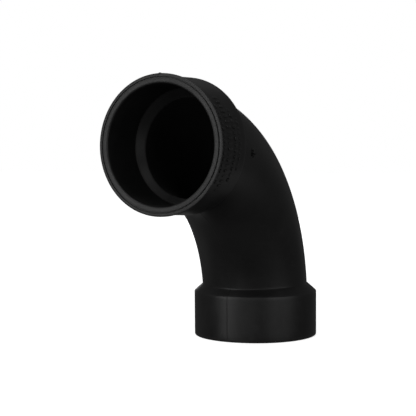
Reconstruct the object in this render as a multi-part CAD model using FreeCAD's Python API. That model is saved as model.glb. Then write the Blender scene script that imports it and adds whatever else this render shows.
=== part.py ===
import FreeCAD, Part
import math
import os

# Hub-by-hub long-sweep quarter bend for 3 inch drain pipe, one injection
# moulding in ABS, written as three regions that meet face to face.
#
# Frame, millimetres: the origin is the centre of the lower hub's mouth, +Z runs
# up that hub's axis into the fitting, and the bend leans towards -Y, so the
# upper mouth faces about -Y. The mould parts on the plane x = 0.

# ---------------------------------------------------------------- sockets
SOCKET_R = 44.55          # solvent-weld socket for pipe of 88.9 mm outside diameter
SOCKET_DEPTH = 38.1       # mouth plane to pipe stop
MOUTH_ROUND = 0.88        # rounding of the mouth's inner edge
WATERWAY_R = 38.1         # clear bore between the two stops
STOP_BEVEL = 5.1          # axial length of each stop's cone, from the socket wall to the bore
STOP_ROUND = 1.0          # rounding of each stop's inner edge

# ---------------------------------------------------------------- bend
BEND_R = 131.0            # centreline radius of the sweep
BEND_ANGLE = 88.8         # turn of the centreline, degrees: 90 less a drain's fall of 1 in 48
ARC_START = 27.4          # mouth plane to the start of the arc, both ends
TUBE_R = 44.1             # outside radius of the bend

# ---------------------------------------------------------------- lower hub
LOWER_MOUTH_R = 51.5      # outside radius at the mouth
LOWER_BACK_R = 51.55      # outside radius at the shoulder
LOWER_HUB_LEN = 37.1      # mouth plane to the shoulder edge
LOWER_RIM_ROUND = 0.9     # rounding of the outer rim edge

# ---------------------------------------------------------------- upper hub
UPPER_FACE_R = 48.9       # outside radius of the flat end face
UPPER_FACE_STEP = 0.3     # drop from the end face to the lip
UPPER_LIP_SLOPE = 0.08    # drop of the lip per millimetre outwards
UPPER_LIP_R = 51.6        # outside radius of the mouth lip
UPPER_LIP_LEN = 2.0       # length of the lip along the axis
UPPER_NECK_R = 50.2       # outside radius just behind the lip
UPPER_BACK_R = 51.55      # outside radius at the shoulder
UPPER_HUB_LEN = 37.1      # mouth plane to the shoulder edge
UPPER_RIM_ROUND = 0.45    # rounding of the lip's outer edge

# ---------------------------------------------------------------- shoulders
SHOULDER_SLOPE = 1.13     # radius lost per millimetre along the axis
SHOULDER_TIP_R = 38.5     # the cone is carried on to this radius, inside the bend's wall
SHOULDER_ROUND = 0.8      # rounding of the shoulder's outer edge
CREASE_FILLET = 1.2       # fillet where the shoulder meets the bend

# ---------------------------------------------------------------- regions
SPLIT = 47.0              # mouth plane to the plane where a hub region ends

V = FreeCAD.Vector
X = V(1, 0, 0)
Z = V(0, 0, 1)


def rounded(points, rounds):
    """Closed face in the XZ plane through (r, z) points, with some corners rounded."""
    edges = []
    n = len(points)
    ends = []
    for i in range(n):
        p = points[i]
        r = rounds.get(i, 0.0)
        if not r:
            ends.append((p, p, None))
            continue
        a = points[i - 1]
        b = points[(i + 1) % n]
        ua = (a - p).normalize()
        ub = (b - p).normalize()
        half = 0.5 * math.acos(max(-1.0, min(1.0, ua.dot(ub))))
        t = r / math.tan(half)
        bis = (ua + ub).normalize()
        centre = p + bis * (r / math.sin(half))
        ends.append((p + ua * t, p + ub * t, centre - bis * r))
    for i in range(n):
        inn, out, mid = ends[i]
        if mid is not None:
            edges.append(Part.Arc(inn, mid, out).toShape())
        nxt = ends[(i + 1) % n][0]
        if (nxt - out).Length > 1e-7:
            edges.append(Part.LineSegment(out, nxt).toShape())
    return Part.Face(Part.Wire(edges))


def turned(face):
    return face.revolve(V(0, 0, 0), Z, 360)


def hub_outside(mouth_r, back_r, length, rim_round, lip=None):
    """Outside of a hub about its own axis, mouth at z = 0, shoulder cone carried on into the bend."""
    tip_z = length + (back_r - SHOULDER_TIP_R) / SHOULDER_SLOPE
    pts = [V(0, 0, 0)]
    rounds = {}
    if lip:
        face_r, step, slope, lip_len, neck_r = lip
        pts += [V(face_r, 0, 0), V(face_r + 0.1, 0, step), V(mouth_r, 0, step + slope * (mouth_r - face_r))]
        rounds[3] = rim_round
        pts += [V(mouth_r, 0, lip_len), V(neck_r, 0, lip_len + 0.35)]
        rounds[4] = 0.3
    else:
        pts += [V(mouth_r, 0, 0)]
        rounds[1] = rim_round
    rounds[len(pts)] = SHOULDER_ROUND
    pts += [V(back_r, 0, length), V(SHOULDER_TIP_R, 0, tip_z), V(0, 0, tip_z)]
    return turned(rounded(pts, rounds))


def socket():
    """The space that the pipe goes into, with the mouth's rounded inner edge and the stop's cone."""
    r, e = SOCKET_R, MOUTH_ROUND
    k = e * math.sqrt(0.5)
    arc = Part.Arc(V(r + e, 0, 0), V(r + e - k, 0, e - k), V(r, 0, e)).toShape()
    # The cone is carried on to a smaller radius, inside the waterway.
    over = 1.35
    cone_r, cone_z = r - over * (r - WATERWAY_R), SOCKET_DEPTH + over * STOP_BEVEL
    run = [V(r, 0, e), V(r, 0, SOCKET_DEPTH), V(cone_r, 0, cone_z), V(0, 0, cone_z), V(0, 0, -5), V(r + e, 0, -5), V(r + e, 0, 0)]
    edges = [arc] + [Part.LineSegment(a, b).toShape() for a, b in zip(run, run[1:])]
    return turned(Part.Face(Part.Wire(edges)))


def swept(radius):
    """Tube core of the given radius along the bend's centreline."""
    ring = Part.Face(Part.Wire(Part.makeCircle(radius, V(0, 0, ARC_START), Z)))
    return ring.revolve(V(0, -BEND_R, ARC_START), X, BEND_ANGLE)


# Place of the upper mouth: its centre, and the direction out of it.
theta = math.radians(BEND_ANGLE)
arc_end = V(0, -BEND_R + BEND_R * math.cos(theta), ARC_START + BEND_R * math.sin(theta))
out_dir = V(0, -math.sin(theta), math.cos(theta))
upper_mouth = arc_end + out_dir * ARC_START
# The upper hub's own +Z points from its mouth into the fitting.
upper_place = FreeCAD.Placement(upper_mouth, FreeCAD.Rotation(X, BEND_ANGLE + 180.0))


def at_upper(shape):
    s = shape.copy()
    s.Placement = upper_place.multiply(s.Placement)
    return s


# ---------------------------------------------------------------- the moulding
lower_out = hub_outside(LOWER_MOUTH_R, LOWER_BACK_R, LOWER_HUB_LEN, LOWER_RIM_ROUND)
upper_out = at_upper(
    hub_outside(UPPER_LIP_R, UPPER_BACK_R, UPPER_HUB_LEN, UPPER_RIM_ROUND,
                (UPPER_FACE_R, UPPER_FACE_STEP, UPPER_LIP_SLOPE, UPPER_LIP_LEN, UPPER_NECK_R))
)
outside = lower_out.fuse([swept(TUBE_R), upper_out]).removeSplitter()

hollow = socket().fuse([swept(WATERWAY_R), at_upper(socket())])
moulding = outside.cut(hollow).removeSplitter()


def local_z(p, upper):
    return (upper_place.inverse().multVec(p) if upper else p).z


def ring_edges(shape, test):
    return [e for e in shape.Edges if test(e)]


def radial(p, upper):
    q = upper_place.inverse().multVec(p) if upper else p
    return math.hypot(q.x, q.y)


def cone_meets_bend(e, inside):
    """Edge where a cone meets the bend's round wall: a stop's inner edge, or the crease of a shoulder."""
    kinds = {type(f.Surface).__name__ for f in moulding.ancestorsOfType(e, Part.Face)}
    if kinds != {"Cone", "Toroid"} or e.Length < 20:
        return False
    p = e.valueAt(0.5 * (e.FirstParameter + e.LastParameter))
    near = min((False, True), key=lambda upper: abs(local_z(p, upper)))
    return (radial(p, near) < 0.5 * (WATERWAY_R + TUBE_R)) == inside


def fillet(shape, radius, edges, what):
    if not edges:
        raise RuntimeError("no edges found for " + what)
    made = shape.makeFillet(radius, edges)
    if not made.isValid() or made.Volume <= 0:
        raise RuntimeError("bad fillet at " + what)
    return made


before = moulding.Volume
moulding = fillet(moulding, STOP_ROUND, ring_edges(moulding, lambda e: cone_meets_bend(e, True)), "the stops")
moulding = fillet(moulding, CREASE_FILLET, ring_edges(moulding, lambda e: cone_meets_bend(e, False)), "the creases")
print("volume cm3 before and after the fillets", round(before / 1000, 3), round(moulding.Volume / 1000, 3))

# ---------------------------------------------------------------- regions
BIG = 400.0
lower_box = Part.makeBox(BIG, BIG, BIG, V(-BIG / 2, -BIG / 2, SPLIT - BIG))
upper_box = Part.makeBox(BIG, BIG, BIG, V(-BIG / 2, -BIG / 2, SPLIT - BIG))
upper_box = at_upper(upper_box)

lower_hub = moulding.common(lower_box)
upper_hub = moulding.common(upper_box)
sweep_bend = moulding.cut(lower_box).cut(upper_box)

os.makedirs("parts", exist_ok=True)
total = 0.0
for name, shape in (("lower_hub", lower_hub), ("sweep_bend", sweep_bend), ("upper_hub", upper_hub)):
    solids = shape.Solids
    if len(solids) != 1 or not solids[0].isValid():
        raise RuntimeError("%s: %d solids" % (name, len(solids)))
    solids[0].exportStep("parts/%s.step" % name)
    total += solids[0].Volume
    b = solids[0].BoundBox
    print(name, "volume cm3", round(solids[0].Volume / 1000, 3),
          "box", [round(v, 2) for v in (b.XMin, b.YMin, b.ZMin, b.XMax, b.YMax, b.ZMax)])
print("regions add up to the moulding:", round(total / moulding.Volume, 6))
print("upper mouth", [round(v, 4) for v in upper_mouth], "direction", [round(v, 6) for v in out_dir])
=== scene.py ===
import bpy, math
import numpy as np
from mathutils import Matrix, Vector


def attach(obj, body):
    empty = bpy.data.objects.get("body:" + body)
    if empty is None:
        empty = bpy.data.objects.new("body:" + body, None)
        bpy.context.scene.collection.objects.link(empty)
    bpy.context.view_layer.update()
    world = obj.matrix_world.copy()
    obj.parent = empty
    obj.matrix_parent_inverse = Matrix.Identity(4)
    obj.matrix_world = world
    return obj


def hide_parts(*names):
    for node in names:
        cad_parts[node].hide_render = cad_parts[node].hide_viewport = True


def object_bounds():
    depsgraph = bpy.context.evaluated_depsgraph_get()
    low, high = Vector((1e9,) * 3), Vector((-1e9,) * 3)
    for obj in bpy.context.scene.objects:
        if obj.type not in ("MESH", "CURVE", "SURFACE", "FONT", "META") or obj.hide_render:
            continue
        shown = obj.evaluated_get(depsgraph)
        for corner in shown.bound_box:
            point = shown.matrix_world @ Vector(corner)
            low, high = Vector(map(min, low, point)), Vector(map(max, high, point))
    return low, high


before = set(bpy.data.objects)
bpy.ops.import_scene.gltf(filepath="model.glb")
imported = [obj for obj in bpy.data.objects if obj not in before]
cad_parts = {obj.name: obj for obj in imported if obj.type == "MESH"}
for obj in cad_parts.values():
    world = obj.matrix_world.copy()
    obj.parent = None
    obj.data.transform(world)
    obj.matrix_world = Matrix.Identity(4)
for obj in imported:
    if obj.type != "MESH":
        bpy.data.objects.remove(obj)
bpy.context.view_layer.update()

# ------------------------------------------------------------------ the elbow's own sizes, millimetres
SOCKET_R, SOCKET_DEPTH, MOUTH_ROUND = 44.55, 38.1, 1.5
WATERWAY_R, STOP_BEVEL, STOP_ROUND = 38.1, 5.1, 1.0
BEND_R, BEND_ANGLE, ARC_START, TUBE_R = 131.0, 88.8, 27.4, 44.1
HUB_LEN, BACK_R, SLOPE = 37.1, 51.55, 1.13
MOUTH_R, LIP_R = 51.5, 51.75
LIP_LEN, NECK_R = 2.0, 50.2
TH = math.radians(BEND_ANGLE)
ARC_C = np.array([0.0, -BEND_R, ARC_START])
T_UP = np.array([0.0, -math.sin(TH), math.cos(TH)])
N_UP = np.array([0.0, math.cos(TH), math.sin(TH)])
M_UP = np.array([0.0, -BEND_R + BEND_R * math.cos(TH), ARC_START + BEND_R * math.sin(TH)]) + T_UP * ARC_START

PARTING_H, PARTING_W = 0.12, 0.30       # raised flash line on the mould's parting plane
GATE_FROM_END = math.radians(BEND_ANGLE - 73.0)  # gate mark: how far round the arc from the upper end
GATE_PSI = math.radians(90.0)


# ------------------------------------------------------------------ columns round the tube
def columns():
    base = np.linspace(0, 360, 240, endpoint=False)
    fine = []
    for c in (0.0, 180.0):
        fine += [c + d for d in (-1.6, -1.1, -0.8, -0.6, -0.45, -0.32, -0.2, -0.1, 0.1, 0.2, 0.32, 0.45, 0.6, 0.8, 1.1, 1.6)]
    g = math.degrees(GATE_PSI)
    fine += [g + d for d in np.arange(-5.7, 5.71, 0.30)]
    a = np.unique(np.round(np.mod(np.concatenate([base, fine]), 360), 4))
    keep = [a[0]]
    for v in a[1:]:
        if v - keep[-1] > 0.085:
            keep.append(v)
    return np.radians(np.array(keep))


PSI = columns()
NP = len(PSI)


def smooth(x, a, b):
    t = np.clip((x - a) / (b - a), 0, 1)
    return t * t * (3 - 2 * t)


def fillet_2d(points, rounds, k=6):
    """Polyline through (r, z) points with rounded corners."""
    out = []
    n = len(points)
    P = [np.array(p, float) for p in points]
    for i, p in enumerate(P):
        r = rounds.get(i, 0)
        if not r or i in (0, n - 1):
            out.append(p)
            continue
        ua = P[i - 1] - p
        ub = P[i + 1] - p
        ua /= np.linalg.norm(ua)
        ub /= np.linalg.norm(ub)
        half = 0.5 * math.acos(np.clip(ua @ ub, -1, 1))
        t = r / math.tan(half)
        bis = (ua + ub) / np.linalg.norm(ua + ub)
        c = p + bis * r / math.sin(half)
        a, b = p + ua * t - c, p + ub * t - c
        w = math.acos(np.clip(a @ b / r / r, -1, 1))
        m = max(k, 2)
        for j in range(m + 1):
            s = j / m
            out.append(c + (math.sin((1 - s) * w) * a + math.sin(s * w) * b) / math.sin(w))
    return out


def subdivide(points, step):
    """More points on the long runs of a polyline."""
    out = [points[0]]
    for a, b in zip(points, points[1:]):
        d = np.linalg.norm(b - a)
        m = max(1, int(math.ceil(d / step)))
        for j in range(1, m + 1):
            out.append(a + (b - a) * j / m)
    return out


def on_hub(r, z, az):
    """Point of a hub in its own frame: mouth at z = 0, z into the fitting."""
    return np.stack([r * np.sin(az), r * np.cos(az), z + 0 * az], -1)


def on_arc(radius, phi, psi):
    q = BEND_R + radius * np.cos(psi)
    return np.stack([radius * np.sin(psi) + 0 * phi, -BEND_R + q * np.cos(phi), ARC_START + q * np.sin(phi)], -1)


def arc_dir(phi):
    return np.stack([0 * phi, -np.sin(phi), np.cos(phi)], -1)


def corner(p0, t0, p3, t3, turn, k):
    """Smooth curve from p0 (direction t0) to p3 (direction t3), like a fillet arc. Rows are the steps between the ends."""
    chord = np.linalg.norm(p3 - p0, axis=-1)
    r = chord / (2 * np.sin(turn / 2))
    h = (4 / 3) * np.tan(turn / 4) * r
    p1, p2 = p0 + t0 * h[..., None], p3 - t3 * h[..., None]
    rows = []
    for j in range(k + 1):
        s = j / k
        rows.append((1 - s) ** 3 * p0 + 3 * s * (1 - s) ** 2 * p1 + 3 * s * s * (1 - s) * p2 + s ** 3 * p3)
    return rows


def tube_r(psi):
    """Outside radius of the bend. The mould's draft leaves it a hair larger on the parting plane."""
    return TUBE_R + 0.16 * (1 - np.abs(np.sin(psi))) - 0.10


# ------------------------------------------------------------------ one half of the outside, mouth to mid-bend
def outside_half(upper):
    """Rows of points, each NP x 3, in the hub's own frame, from the straight part of the mouth's inner edge to mid-bend, and where each region starts."""
    e = MOUTH_ROUND
    rows, tags = [], []
    if upper:
        pts = [(SOCKET_R, e), (SOCKET_R, 0), (48.62, 0.0), (48.80, 1.0), (49.22, 1.02), (49.56, 0.22), (LIP_R - 0.03, 0.38), (LIP_R, LIP_LEN), (NECK_R, LIP_LEN + 0.45), (BACK_R, HUB_LEN)]
        rounds = {1: e * 0.999, 2: 0.14, 3: 0.10, 4: 0.08, 5: 0.10, 6: 0.42, 7: 0.30, 8: 0.35, 9: 1.3}
    else:
        pts = [(SOCKET_R, e), (SOCKET_R, 0), (MOUTH_R - 0.1, 0.0), (MOUTH_R, 6.0), (BACK_R, HUB_LEN)]
        rounds = {1: e * 0.999, 2: 0.9, 4: 0.7}
    tip = (BACK_R - SLOPE * 6.0, HUB_LEN + 6.0)
    pts.append(tip)
    line = fillet_2d(pts, rounds)[:-1]
    line = subdivide(line, 2.6)
    # where the shoulder cone meets the bend, for each column
    R = tube_r(PSI)
    lo, hi = np.full(NP, 0.02), np.full(NP, 0.30)
    for _ in range(60):
        mid = (lo + hi) / 2
        q = on_arc(R, mid, PSI)
        cone = BACK_R - SLOPE * (q[:, 2] - HUB_LEN)
        inside = np.hypot(q[:, 0], q[:, 1]) < cone
        lo, hi = np.where(inside, mid, lo), np.where(inside, hi, mid)
    pc = (lo + hi) / 2
    C = on_arc(R, pc, PSI)
    az_c = np.arctan2(C[:, 0], C[:, 1])
    az_c = PSI + (az_c - PSI + math.pi) % (2 * math.pi) - math.pi
    last = line[-1]
    for r, z in line:
        w = smooth(z, 4.0, HUB_LEN)
        rows.append(on_hub(r, z, PSI + (az_c - PSI) * w))
        tags.append("hub")
    # cone, then the fillet into the bend
    start = rows[-1]
    a = C - start
    La = np.linalg.norm(a, axis=1)
    a /= La[:, None]
    b = arc_dir(pc)
    half = 0.5 * np.arccos(np.clip(np.sum(-a * b, 1), -1, 1))
    t = 1.25 / np.tan(half)
    P0 = C - a * t[:, None]
    rho = BEND_R + R * np.cos(PSI)
    p3 = pc + t / rho
    P3 = on_arc(R, p3, PSI)
    for j in range(1, 4):
        rows.append(start + (P0 - start) * (j / 4))
        tags.append("cone")
    turn = math.pi - 2 * half
    for row in corner(P0, a, P3, arc_dir(p3), turn, 7):
        rows.append(row)
        tags.append("cone")
    # the bend, with closer rows at the gate mark
    s = np.linspace(0, 1, 37)
    if upper:
        s = np.unique(np.round(np.concatenate([s, (GATE_FROM_END - p3.mean() + np.radians(np.arange(-2.3, 2.31, 0.115))) / (TH / 2 - p3.mean())]), 5))
        s = s[(s >= 0) & (s <= 1)]
    for k in s[1:]:
        phi = p3 + (TH / 2 - p3) * k
        rows.append(on_arc(R, phi, PSI))
        tags.append("bend")
    return rows, tags


def inside_half():
    """Rows from just below the mouth's rounded inner edge down the socket, over the stop, to mid-bend."""
    rows, tags = [], []
    q = BEND_R + WATERWAY_R * np.cos(PSI)
    # where the stop's cone meets the bore, for each column
    lean = (SOCKET_R - WATERWAY_R) / STOP_BEVEL
    lo, hi = np.full(NP, 0.03), np.full(NP, 0.30)
    for _ in range(60):
        mid = (lo + hi) / 2
        p = on_arc(WATERWAY_R, mid, PSI)
        before = np.hypot(p[:, 0], p[:, 1]) < SOCKET_R - lean * (p[:, 2] - SOCKET_DEPTH)
        lo, hi = np.where(before, mid, lo), np.where(before, hi, mid)
    ps = (lo + hi) / 2
    S = on_arc(WATERWAY_R, ps, PSI)
    az_s = np.arctan2(S[:, 0], S[:, 1])
    az_s = PSI + (az_s - PSI + math.pi) % (2 * math.pi) - math.pi
    line = fillet_2d([(SOCKET_R, MOUTH_ROUND), (SOCKET_R, SOCKET_DEPTH), (SOCKET_R - 1.2, SOCKET_DEPTH + 1.2 / lean)], {1: 0.5}, 5)
    line = subdivide(line, 3.2)
    for r, z in line[1:]:
        w = smooth(z, 4.0, SOCKET_DEPTH - 4)
        rows.append(on_hub(r, z, PSI + (az_s - PSI) * w))
        tags.append("hub")
    start = rows[-1]
    a = S - start
    a /= np.linalg.norm(a, axis=1)[:, None]
    b = arc_dir(ps)
    half = 0.5 * np.arccos(np.clip(np.sum(-a * b, 1), -1, 1))
    t = STOP_ROUND / np.tan(half)
    P0 = S - a * t[:, None]
    p3 = ps + t / q
    P3 = on_arc(WATERWAY_R, p3, PSI)
    turn = math.pi - 2 * half
    for j in range(1, 4):
        rows.append(start + (P0 - start) * (j / 4))
        tags.append("hub")
    for row in corner(P0, a, P3, arc_dir(p3), turn, 8):
        rows.append(row)
        tags.append("hub")
    for k in np.linspace(0, 1, 31)[1:]:
        rows.append(on_arc(WATERWAY_R, p3 + (TH / 2 - p3) * k, PSI))
        tags.append("bend")
    return rows, tags


def to_world(rows, upper):
    if not upper:
        return rows
    return [M_UP + p[:, :1] * np.array([1.0, 0, 0]) + p[:, 1:2] * N_UP - p[:, 2:] * T_UP for p in rows]


# ------------------------------------------------------------------ the whole closed skin
lo_out, lo_tag = outside_half(False)
up_out, up_tag = outside_half(True)
lo_in, lo_itag = inside_half()
up_in, up_itag = inside_half()
NAMES = {"lower": "lower_hub", "upper": "upper_hub", "bend": "sweep_bend"}

grid, region, side = [], [], []      # side 1 outside, 0 inside
# outside, lower mouth to mid-bend, then mid-bend to the upper mouth
for p, t in zip(to_world(lo_out, False), lo_tag):
    grid.append(p); region.append("bend" if t == "bend" else "lower"); side.append(1)
for p, t in list(zip(to_world(up_out, True), up_tag))[::-1][1:]:
    grid.append(p); region.append("bend" if t == "bend" else "upper"); side.append(1)
# inside, upper mouth to mid-bend, then back to the lower mouth
for p, t in zip(to_world(up_in, True), up_itag):
    grid.append(p); region.append("bend" if t == "bend" else "upper"); side.append(0)
for p, t in list(zip(to_world(lo_in, False), lo_itag))[::-1][1:]:
    grid.append(p); region.append("bend" if t == "bend" else "lower"); side.append(0)
grid = np.array(grid)
side = np.array(side)
NU = len(grid)


def normals_of(g):
    """Unit normals of the closed grid, outwards, by central differences."""
    du = np.roll(g, -1, 0) - np.roll(g, 1, 0)
    e1 = np.roll(g, -1, 0) - g
    e0 = g - np.roll(g, 1, 0)
    n1 = np.linalg.norm(e1, axis=2, keepdims=True) + 1e-12
    n0 = np.linalg.norm(e0, axis=2, keepdims=True) + 1e-12
    du = e1 / n1 / n1 + e0 / n0 / n0           # the nearer neighbour counts more
    f1 = np.roll(g, -1, 1) - g
    f0 = g - np.roll(g, 1, 1)
    m1 = np.linalg.norm(f1, axis=2, keepdims=True) + 1e-12
    m0 = np.linalg.norm(f0, axis=2, keepdims=True) + 1e-12
    dv = f1 / m1 / m1 + f0 / m0 / m0
    n = np.cross(dv, du)
    return n / (np.linalg.norm(n, axis=2, keepdims=True) + 1e-12)


N0 = normals_of(grid)
centre = grid[:, :, :].mean(1, keepdims=True)
if np.sum((N0 * (grid - centre))[side == 1]) < 0:
    N0 = -N0
    FLIP = True
else:
    FLIP = False

# fine relief of the moulding, all of it on the outside
x = grid[:, :, 0]
out = side[:, None] * np.ones(NP)
col = np.cos(PSI)[None, :]
up_dist = -(grid - M_UP) @ T_UP          # distance in from the upper mouth
lo_dist = grid[:, :, 2]                  # distance in from the lower mouth
on_wall = np.where(up_dist < 60, smooth(up_dist, 1.2, 2.6), 1) * np.where(lo_dist < 60, smooth(lo_dist, 0.8, 2.2), 1)
disp = PARTING_H * np.exp(-(x / PARTING_W) ** 2) * out * on_wall
# the lip's flash: a small nub where the parting line crosses the top of the upper rim
up_n = (grid - M_UP) @ N_UP
nub = np.exp(-(x / 0.9) ** 2) * smooth(up_n, 50.2, 51.2) * (1 - smooth(up_dist, 1.6, 2.3)) * (up_dist > -1)
disp += 0.5 * nub * out
# the gate mark on the side of the bend: a steep pit where the sprue broke away, with a torn nib at its far edge
gate = on_arc(TUBE_R, np.array([GATE_FROM_END]), np.array([GATE_PSI]))[0]
gate = M_UP + gate[0] * np.array([1.0, 0, 0]) + gate[1] * N_UP - gate[2] * T_UP
gate_phi = TH - GATE_FROM_END
gate_axis = -np.array([0.0, -math.sin(gate_phi), math.cos(gate_phi)])   # along the bend, away from the upper mouth
gate_side = np.array([0.0, math.cos(gate_phi), math.sin(gate_phi)])     # towards the outer side of the bend
gd = np.linalg.norm(grid - gate, axis=2)
ragged = 1 + 0.12 * np.sin(5 * np.arctan2(grid[:, :, 2] - gate[2], grid[:, :, 1] - gate[1]) + 0.7)
along_gate = (grid - gate) @ gate_axis
across_gate = (grid - gate) @ gate_side
stub = np.exp(-((along_gate - 3.0) / 0.60) ** 2 - ((across_gate - 0.9) / 1.2) ** 2)
disp += out * (-3.0 * (1 - smooth(gd * ragged, 1.5, 3.1)) + 1.3 * stub * (gd < 5.5) + 0.18 * np.exp(-((gd - 3.5) / 0.45) ** 2))
# long soft sink and swell, a few hundredths of a millimetre, as a thick moulding has
along = np.cumsum(np.r_[0, np.linalg.norm(np.diff(grid[:, 0], axis=0), axis=1)])[:, None]
disp += out * 0.035 * (np.sin(2 * PSI + 0.8)[None, :] * np.sin(along / 41.0) + 0.6 * np.sin(5 * PSI + 1.9)[None, :] * np.sin(along / 17.0 + 1.0))
grid2 = grid + N0 * disp[:, :, None]
NRM = normals_of(grid2)
if FLIP:
    NRM = -NRM


# ------------------------------------------------------------------ meshes
def region_rows(name):
    """Runs of consecutive rows for a region, a run that wraps past the last row joined on to the first."""
    idx = [i for i in range(NU) if region[i] == name]
    runs, run = [], [idx[0]]
    for i in idx[1:]:
        if i == run[-1] + 1:
            run.append(i)
        else:
            runs.append(run); run = [i]
    runs.append(run)
    if len(runs) > 1 and runs[0][0] == 0 and runs[-1][-1] == NU - 1:
        runs[0] = runs[-1] + runs[0]
        runs.pop()
    return runs


def make_mesh(name, rows_list, extra=None):
    """A closed mesh from one or two strips of the skin, with flat rings closing the wall where a region ends."""
    verts, faces, norms, kind = [], [], [], []
    base = {}
    for rows in rows_list:
        for i in rows:
            base[i] = len(verts)
            verts.extend(grid2[i]); norms.extend(NRM[i])
    J = np.arange(NP)
    def quad_strip(i, j, flip):
        a, b = base[i], base[j]
        for k in range(NP):
            k2 = (k + 1) % NP
            f = (a + k, b + k, b + k2, a + k2)
            faces.append(f if not flip else f[::-1])
    for rows in rows_list:
        for i, j in zip(rows, rows[1:]):
            quad_strip(i, j, True)
    n_skin = len(faces)
    # close the cut ends: outside strip's end rings are joined to the inside strip's
    if len(rows_list) == 2:                      # the bend: outside strip and inside strip
        o, n = rows_list
        for a, b in ((o[-1], n[0]), (n[-1], o[0])):
            quad_strip(a, b, True)
    else:
        rows = rows_list[0]
        quad_strip(rows[-1], rows[0], True)
    mesh = bpy.data.meshes.new(name)
    V = np.array(verts) / 1000.0
    mesh.from_pydata([tuple(v) for v in V], [], faces)
    mesh.validate(verbose=False)
    mesh.update()
    # the winding follows the true outward normal
    f0 = mesh.polygons[n_skin // 3]
    if f0.normal.dot(Vector(norms[mesh.loops[f0.loop_start].vertex_index])) < 0:
        mesh.flip_normals()
    return mesh, n_skin, np.array(norms)


def smooth_normals(mesh, n_skin, norms, extra_faces=None):
    """Exact shading normals from the whole skin, so that no seam shows between regions."""
    mesh.polygons.foreach_set("use_smooth", np.ones(len(mesh.polygons), bool))
    loops = np.zeros((len(mesh.loops), 3), np.float32)
    li = np.zeros(len(mesh.loops), np.int32)
    mesh.loops.foreach_get("vertex_index", li)
    pn = np.zeros(len(mesh.polygons) * 3, np.float32)
    mesh.polygons.foreach_get("normal", pn)
    pn = pn.reshape(-1, 3)
    ls = np.zeros(len(mesh.polygons), np.int32)
    lt = np.zeros(len(mesh.polygons), np.int32)
    mesh.polygons.foreach_get("loop_start", ls)
    mesh.polygons.foreach_get("loop_total", lt)
    own = np.repeat(np.arange(len(ls)), lt)
    own_loop = np.concatenate([np.arange(a, a + b) for a, b in zip(ls, lt)])
    poly_of_loop = np.zeros(len(li), np.int32)
    poly_of_loop[own_loop] = own
    skin = (poly_of_loop < n_skin)
    inside = li < len(norms)
    use = skin & inside
    loops[:] = pn[poly_of_loop]
    loops[use] = norms[li[use]]
    mesh.normals_split_custom_set([tuple(v) for v in loops])


def wear_of(points, n_outer_hint=None):
    """How exposed each point is to rubbing, 0 to 1: rim edges, shoulder edges, lip."""
    p = np.asarray(points)
    out = np.zeros(len(p))
    for z, r in (
        (p[:, 2], np.hypot(p[:, 0], p[:, 1])),
        (-(p - M_UP) @ T_UP, np.hypot(p[:, 0], (p - M_UP) @ N_UP)),
    ):
        face = np.exp(-(z / 0.5) ** 2) * smooth(r, 44.2, 45.4) * (r < 53)
        rim_out = np.exp(-((z - 0.4) / 0.9) ** 2 - ((r - MOUTH_R) / 0.6) ** 2)
        shoulder = np.exp(-((z - HUB_LEN) / 0.8) ** 2 - ((r - BACK_R) / 0.8) ** 2)
        out = np.maximum(out, np.maximum(0.55 * face, np.maximum(rim_out, 0.8 * shoulder)))
    return out


def rim_of(points):
    """1 on the flat end faces of the two hubs, which are painted lighter to stand in for the light they catch, and made
    rougher.
    """
    p = np.asarray(points)
    out = np.zeros(len(p))
    for z, r in (
        (p[:, 2], np.hypot(p[:, 0], p[:, 1])),
        (-(p - M_UP) @ T_UP, np.hypot(p[:, 0], (p - M_UP) @ N_UP)),
    ):
        out = np.maximum(out, (1 - smooth(z, 0.15, 0.75)) * smooth(r, 44.6, 45.2) * (r < 53) * (z > -2))
    return out


def inside_of(points):
    """1 in the bore past the stops, about a half in the sockets, 0 outside."""
    p = np.asarray(points)
    q = np.hypot(p[:, 1] + BEND_R, p[:, 2] - ARC_START)
    tube = np.hypot(q - BEND_R, p[:, 0]) < WATERWAY_R + 0.4
    out = np.zeros(len(p))
    for z, r in (
        (p[:, 2], np.hypot(p[:, 0], p[:, 1])),
        (-(p - M_UP) @ T_UP, np.hypot(p[:, 0], (p - M_UP) @ N_UP)),
    ):
        out = np.maximum(out, 0.5 * (r < SOCKET_R + 0.5) * (z > 0.7) * (z < SOCKET_DEPTH + 0.2))
    return np.where(tube & (p[:, 2] > SOCKET_DEPTH + 3) & (-(p - M_UP) @ T_UP > SOCKET_DEPTH + 3), 1.0, out)


def add_float(mesh, name, values):
    a = mesh.attributes.new(name, "FLOAT", "POINT")
    a.data.foreach_set("value", np.asarray(values, np.float32))


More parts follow.
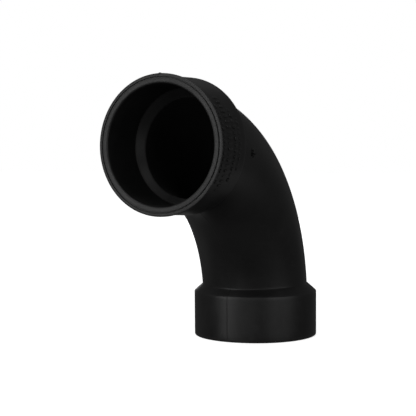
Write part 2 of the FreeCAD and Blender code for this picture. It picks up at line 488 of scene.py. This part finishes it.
# ------------------------------------------------------------------ generic raised marks on the upper hub's side
def mark_shells():
    """A row of raised bars and three rows of raised dots, round the side of the upper hub. They are plain shapes and spell nothing. Closed shells, their feet sunk in the wall."""
    V, F = [], []
    def hub_r(z):
        if z < LIP_LEN + 0.45:
            return NECK_R
        return NECK_R + (BACK_R - NECK_R) * (z - LIP_LEN - 0.45) / (HUB_LEN - LIP_LEN - 0.45)
    def pad(z0, z1, a0, a1, height, shape):
        """A pad between depths z0 and z1 and azimuths a0 and a1 (radians), with bevelled edges."""
        rings = [(0.0, 0.0, -0.40), (0.0, 0.0, 0.0), (0.04, 0.04, 0.55 * height), (0.10, 0.10, 0.88 * height), (0.24, 0.24, height)]
        loops_ = []
        for inset_z, inset_a, h in rings:
            iz = max(inset_z, 0)
            ia = max(inset_a, 0) / 51.0
            zz0, zz1, aa0, aa1 = z0 + iz, z1 - iz, a0 + ia, a1 - ia
            cz, ca = (zz0 + zz1) / 2, (aa0 + aa1) / 2
            hz, ha = (zz1 - zz0) / 2, (aa1 - aa0) / 2
            loop = []
            for k in range(20):
                w = 2 * math.pi * k / 20
                c, s = math.cos(w), math.sin(w)
                # superellipse: near 1 a round dot, near 0 a rounded rectangle
                e = shape
                zz = cz + hz * math.copysign(abs(c) ** e, c)
                aa = ca + ha * math.copysign(abs(s) ** e, s)
                r = hub_r(zz) + h
                loop.append((r, zz, aa))
            loops_.append(loop)
        b = len(V)
        for loop in loops_:
            for r, zz, aa in loop:
                p = np.array([r * math.sin(aa), r * math.cos(aa), zz])
                V.append(M_UP + p[0] * np.array([1.0, 0, 0]) + p[1] * N_UP - p[2] * T_UP)
        L = 20
        for i in range(len(loops_) - 1):
            for k in range(L):
                k2 = (k + 1) % L
                F.append((b + i * L + k, b + i * L + k2, b + (i + 1) * L + k2, b + (i + 1) * L + k))
        F.append(tuple(b + (len(loops_) - 1) * L + k for k in range(L)))
        F.append(tuple(b + k for k in range(L))[::-1])
    # a row of bars among rows of dots, each row evenly spaced and all of one shape
    for z0, z1, start, stop, h, width, pitch, shape in (
        (4.9, 8.1, 56.0, 124.0, 0.46, 3.3, 4.9, 0.9),
        (11.6, 16.6, 47.0, 129.0, 0.56, 2.4, 4.5, 0.4),
        (20.4, 23.8, 58.5, 119.0, 0.50, 3.5, 4.9, 0.9),
        (27.2, 29.6, 66.0, 112.0, 0.36, 2.6, 4.2, 0.9),
    ):
        for k in range(int((stop - start) / pitch) + 1):
            a = start + k * pitch
            lean = 0.10 * math.sin(5.3 * k + z0)
            pad(z0 + lean, z1 + lean, math.radians(a), math.radians(a + width), h * (1 + 0.40 * math.sin(2.9 * k + z1)), shape)
    return V, F


objs = {}
for key in ("lower", "bend", "upper"):
    runs = region_rows(key)
    # carry each strip on to its neighbour's first row, so that the regions share an edge
    runs = [list(r) for r in runs]
    if key == "bend":
        runs = [[(r[0] - 1) % NU] + r + [(r[-1] + 1) % NU] for r in runs]
        runs.sort(key=lambda r: -side[r[1]])
    mesh, n_skin, norms = make_mesh(NAMES[key] + "_moulding", runs)
    pts = np.array([v.co for v in mesh.vertices]) * 1000
    add_float(mesh, "wear", wear_of(pts))
    add_float(mesh, "rim", rim_of(pts))
    add_float(mesh, "inner", inside_of(pts))
    smooth_normals(mesh, n_skin, norms)
    o = bpy.data.objects.new(NAMES[key] + "_moulding", mesh)
    bpy.context.scene.collection.objects.link(o)
    objs[key] = o

mv, mf = mark_shells()
mm = bpy.data.meshes.new("upper_hub_marks")
mm.from_pydata([tuple(np.array(v) / 1000.0) for v in mv], [], mf)
mm.validate(verbose=False)
mm.update()
add_float(mm, "wear", np.full(len(mm.vertices), 0.35))
add_float(mm, "rim", np.zeros(len(mm.vertices)))
add_float(mm, "inner", np.zeros(len(mm.vertices)))
marks = bpy.data.objects.new("upper_hub_marks", mm)
bpy.context.scene.collection.objects.link(marks)
for poly in mm.polygons:
    poly.use_smooth = True


# ------------------------------------------------------------------ moulded black ABS
def abs_material():
    m = bpy.data.materials.new("black_abs_moulded")
    m.use_nodes = True
    nt = m.node_tree
    nt.nodes.clear()
    N, L = nt.nodes.new, nt.links.new
    out = N("ShaderNodeOutputMaterial")
    bsdf = N("ShaderNodeBsdfPrincipled")
    L(bsdf.outputs[0], out.inputs[0])
    co = N("ShaderNodeTexCoord")
    wear = N("ShaderNodeAttribute"); wear.attribute_name = "wear"
    rim = N("ShaderNodeAttribute"); rim.attribute_name = "rim"
    inner = N("ShaderNodeAttribute"); inner.attribute_name = "inner"

    def noise(scale, detail=4.0, rough=0.55, stretch=None, w=0.0):
        n = N("ShaderNodeTexNoise")
        n.noise_dimensions = "3D"
        n.inputs["Scale"].default_value = scale
        n.inputs["Detail"].default_value = detail
        n.inputs["Roughness"].default_value = rough
        if stretch:
            mp = N("ShaderNodeMapping")
            mp.inputs["Scale"].default_value = stretch
            mp.inputs["Location"].default_value = (w, w, w)
            L(co.outputs["Object"], mp.inputs[0])
            L(mp.outputs[0], n.inputs["Vector"])
        else:
            L(co.outputs["Object"], n.inputs["Vector"])
        return n.outputs["Fac"]

    def ramp(fac, stops):
        r = N("ShaderNodeValToRGB")
        els = r.color_ramp.elements
        while len(els) < len(stops):
            els.new(0.5)
        for el, (p, c) in zip(els, stops):
            el.position = p
            el.color = (c, c, c, 1) if isinstance(c, (int, float)) else (*c, 1)
        L(fac, r.inputs[0])
        return r.outputs[0]

    def math_(op, a, b=None, clamp=False):
        n = N("ShaderNodeMath")
        n.operation = op
        n.use_clamp = clamp
        for k, v in enumerate((a, b)):
            if v is None:
                continue
            if isinstance(v, (int, float)):
                n.inputs[k].default_value = v
            else:
                L(v, n.inputs[k])
        return n.outputs[0]

    def mix(fac, a, b):
        n = N("ShaderNodeMix")
        n.data_type = "RGBA"
        n.clamp_factor = True
        if isinstance(fac, (int, float)):
            n.inputs[0].default_value = fac
        else:
            L(fac, n.inputs[0])
        for k, v in ((6, a), (7, b)):
            if isinstance(v, tuple):
                n.inputs[k].default_value = (*v, 1)
            else:
                L(v, n.inputs[k])
        return n.outputs[2]

    # broad flow clouding of the moulding, fine mould grain, sparse scuffs
    cloud = noise(34.0, 4.0, 0.58, (1.0, 1.0, 0.8), 0.4)
    grain = noise(2600.0, 2.0, 0.6)
    mid = noise(420.0, 4.0, 0.6)
    scuff_a = noise(95.0, 2.0, 0.45, (1.0, 1.0, 6.0), 3.1)
    scuff_b = noise(120.0, 2.0, 0.45, (6.0, 1.5, 1.0), 7.7)
    speck = noise(1500.0, 1.0, 0.5, (1, 1, 1), 1.3)
    scuffs = math_("MAXIMUM", ramp(scuff_a, [(0.60, 0.0), (0.82, 1.0)]), ramp(scuff_b, [(0.62, 0.0), (0.84, 1.0)]))
    dust = ramp(speck, [(0.70, 0.0), (0.78, 1.0)])

    base = mix(ramp(cloud, [(0.35, 0.0), (0.65, 1.0)]), BASE_DARK, BASE_LIGHT)
    base = mix(math_("MULTIPLY", scuffs, 0.22), base, (0.034, 0.034, 0.035))
    base = mix(math_("MULTIPLY", dust, 0.16), base, (0.06, 0.06, 0.058))
    rubbed = math_("MULTIPLY", wear.outputs["Fac"], ramp(mid, [(0.30, 0.35), (0.70, 1.0)]))
    base = mix(math_("MULTIPLY", rubbed, 0.35), base, (0.040, 0.040, 0.041))
    # painted light: the hubs' flat end faces are lifted to a lighter grey, standing in for the key light they face
    base = mix(math_("MULTIPLY", rim.outputs["Fac"], RIM_PAINTED_LIGHT_MIX), base, RIM_PAINTED_LIGHT_COLOUR)
    L(base, bsdf.inputs["Base Color"])

    rough = math_("ADD", ROUGH, math_("MULTIPLY", math_("SUBTRACT", cloud, 0.5), 0.26))
    rough = math_("ADD", rough, math_("MULTIPLY", math_("SUBTRACT", mid, 0.5), 0.10))
    rough = math_("ADD", rough, math_("MULTIPLY", scuffs, 0.10))
    rough = math_("ADD", rough, math_("MULTIPLY", inner.outputs["Fac"], 0.30))
    rough = math_("ADD", rough, math_("MULTIPLY", rim.outputs["Fac"], 0.10), True)
    L(rough, bsdf.inputs["Roughness"])
    bsdf.inputs["IOR"].default_value = 1.52
    bsdf.inputs["Specular IOR Level"].default_value = 0.5

    h = math_("ADD", math_("MULTIPLY", grain, 0.35), math_("MULTIPLY", mid, 0.65))
    h = math_("SUBTRACT", h, math_("MULTIPLY", scuffs, 0.03))
    bump = N("ShaderNodeBump")
    bump.inputs["Strength"].default_value = 0.22
    bump.inputs["Distance"].default_value = 0.00012
    L(h, bump.inputs["Height"])
    L(bump.outputs[0], bsdf.inputs["Normal"])
    return m


BASE_DARK = (0.0090, 0.0090, 0.0091)
BASE_LIGHT = (0.0150, 0.0150, 0.0151)
# painted light: the lighter grey of the hubs' end faces and how strongly it is mixed in, standing in for the light they
# catch
RIM_PAINTED_LIGHT_COLOUR = (0.022, 0.022, 0.022)
RIM_PAINTED_LIGHT_MIX = 0.75
ROUGH = 0.36
plastic = abs_material()

for key, o in list(objs.items()) + [("marks", marks)]:
    o.data.materials.append(plastic)
    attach(o, "root")
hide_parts("lower_hub")
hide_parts("sweep_bend")
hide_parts("upper_hub")


# ------------------------------------------------------------------ floor, world, lights, camera
sc = bpy.context.scene
sc.view_settings.view_transform = "Standard"
sc.view_settings.look = "None"
lo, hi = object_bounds()
floor_z = lo.z
FLOOR_NEAR = 0.88

fm = bpy.data.materials.new("studio_floor")
fm.use_nodes = True
fn = fm.node_tree
fb = fn.nodes["Principled BSDF"]
fb.inputs["Base Color"].default_value = (0.9, 0.9, 0.9, 1)
fb.inputs["Roughness"].default_value = 0.8
fb.inputs["Specular IOR Level"].default_value = 0.1
fb.inputs["Emission Color"].default_value = (1, 1, 1, 1)
# a little less glow round the fitting, so that its soft shadow shows
fc = fn.nodes.new("ShaderNodeTexCoord")
fg = fn.nodes.new("ShaderNodeVectorMath"); fg.operation = "LENGTH"
fr = fn.nodes.new("ShaderNodeMapRange")
fr.inputs["From Min"].default_value, fr.inputs["From Max"].default_value = 0.12, 0.9
fr.inputs["To Min"].default_value, fr.inputs["To Max"].default_value = FLOOR_NEAR, 1.02
fr.interpolation_type = "SMOOTHSTEP"
fn.links.new(fc.outputs["Object"], fg.inputs[0])
fn.links.new(fg.outputs["Value"], fr.inputs["Value"])
fn.links.new(fr.outputs["Result"], fb.inputs["Emission Strength"])
bpy.ops.mesh.primitive_plane_add(size=14.0, location=(0, 0, floor_z - 0.0002))
floor = bpy.context.active_object
floor.name = "studio_floor"
floor.data.materials.append(fm)
floor.visible_glossy = False
floor.visible_diffuse = False
floor.visible_shadow = False

world = bpy.data.worlds.new("studio")
sc.world = world
world.use_nodes = True
wn = world.node_tree
wn.nodes.clear()
wo = wn.nodes.new("ShaderNodeOutputWorld")
lp = wn.nodes.new("ShaderNodeLightPath")
seen = wn.nodes.new("ShaderNodeBackground"); seen.inputs[0].default_value = (1, 1, 1, 1); seen.inputs[1].default_value = 1.0
lit = wn.nodes.new("ShaderNodeBackground"); lit.inputs[0].default_value = (1, 1, 1, 1); lit.inputs[1].default_value = 0.067
mx = wn.nodes.new("ShaderNodeMixShader")
wn.links.new(lp.outputs["Is Camera Ray"], mx.inputs[0])
wn.links.new(lit.outputs[0], mx.inputs[1])
wn.links.new(seen.outputs[0], mx.inputs[2])
wn.links.new(mx.outputs[0], wo.inputs[0])

# camera: azimuth and elevation about the fitting, as the reference view has them
CAM = dict(az=28.774, el=2.812, roll=-0.259, D=885.8, f=1087.6, tx=-20.586, tz=108.559)


def put_camera():
    a, e, ro = (math.radians(CAM[k]) for k in ("az", "el", "roll"))
    back = Vector((math.sin(a) * math.cos(e), -math.cos(a) * math.cos(e), math.sin(e)))
    right = Vector((math.cos(a), math.sin(a), 0))
    up = back.cross(right)
    r2 = right * math.cos(ro) + up * math.sin(ro)
    u2 = -right * math.sin(ro) + up * math.cos(ro)
    pos = (Vector((0, -40.0, CAM["tz"])) + right * CAM["tx"] + back * CAM["D"]) / 1000.0
    cd = bpy.data.cameras.new("camera")
    cd.sensor_fit = "HORIZONTAL"
    cd.sensor_width = 36.0
    cd.lens = CAM["f"] / 416.0 * 36.0
    cd.clip_start, cd.clip_end = 0.01, 50.0
    cam = bpy.data.objects.new("camera", cd)
    m = Matrix((r2, u2, back)).transposed().to_4x4()
    m.translation = pos
    cam.matrix_world = m
    sc.collection.objects.link(cam)
    sc.camera = cam


put_camera()


def softbox(name, az, el, dist, size, power, target=(0, -0.055, 0.10), colour=(1, 1, 1), size_y=None):
    """An area light at azimuth az (0 is in front, on the -Y side, positive towards +X), elevation el, facing the target."""
    a, e = math.radians(az), math.radians(el)
    d = Vector((math.sin(a) * math.cos(e), -math.cos(a) * math.cos(e), math.sin(e)))
    ld = bpy.data.lights.new(name, "AREA")
    ld.shape = "RECTANGLE"
    ld.size = size
    ld.size_y = size_y or size
    ld.energy = power
    ld.color = colour
    o = bpy.data.objects.new(name, ld)
    o.location = Vector(target) + d * dist
    o.rotation_mode = "QUATERNION"
    o.rotation_quaternion = (-d).to_track_quat("-Z", "Y")
    o.visible_camera = False
    sc.collection.objects.link(o)
    return o


# softboxes round the fitting: azimuth, elevation, power in watts. Those under the horizon stand for light off the table.
LIGHTS = [
    (-30, 3, 2.84),
    (-15, 3, 1.25),
    (0, 3, 0.146),
    (15, 3, 0.534),
    (30, 3, 0.299),
    (60, 3, 1.16),
    (75, 3, 0.605),
    (90, 3, 1.02),
    (105, 3, 0.036),
    (-150, 3, 2),
    (170, 3, 0.023),
    (-30, 35, 2.16),
    (0, 35, 2.61),
    (30, 35, 0.417),
    (-160, 35, 0.059),
    (-100, 35, 0.029),
    (0, -28, 0.175),
    (90, -28, 0.062),
    (150, -28, 0.104),
    (-150, -28, 0.175),
    (-100, -28, 0.054),
    (-135, 65, 0.367),
    (0, 89, 3),
]
for k, (az, el, p) in enumerate(LIGHTS):
    softbox("softbox_%02d" % k, az, el, 1.7, 0.6, p)
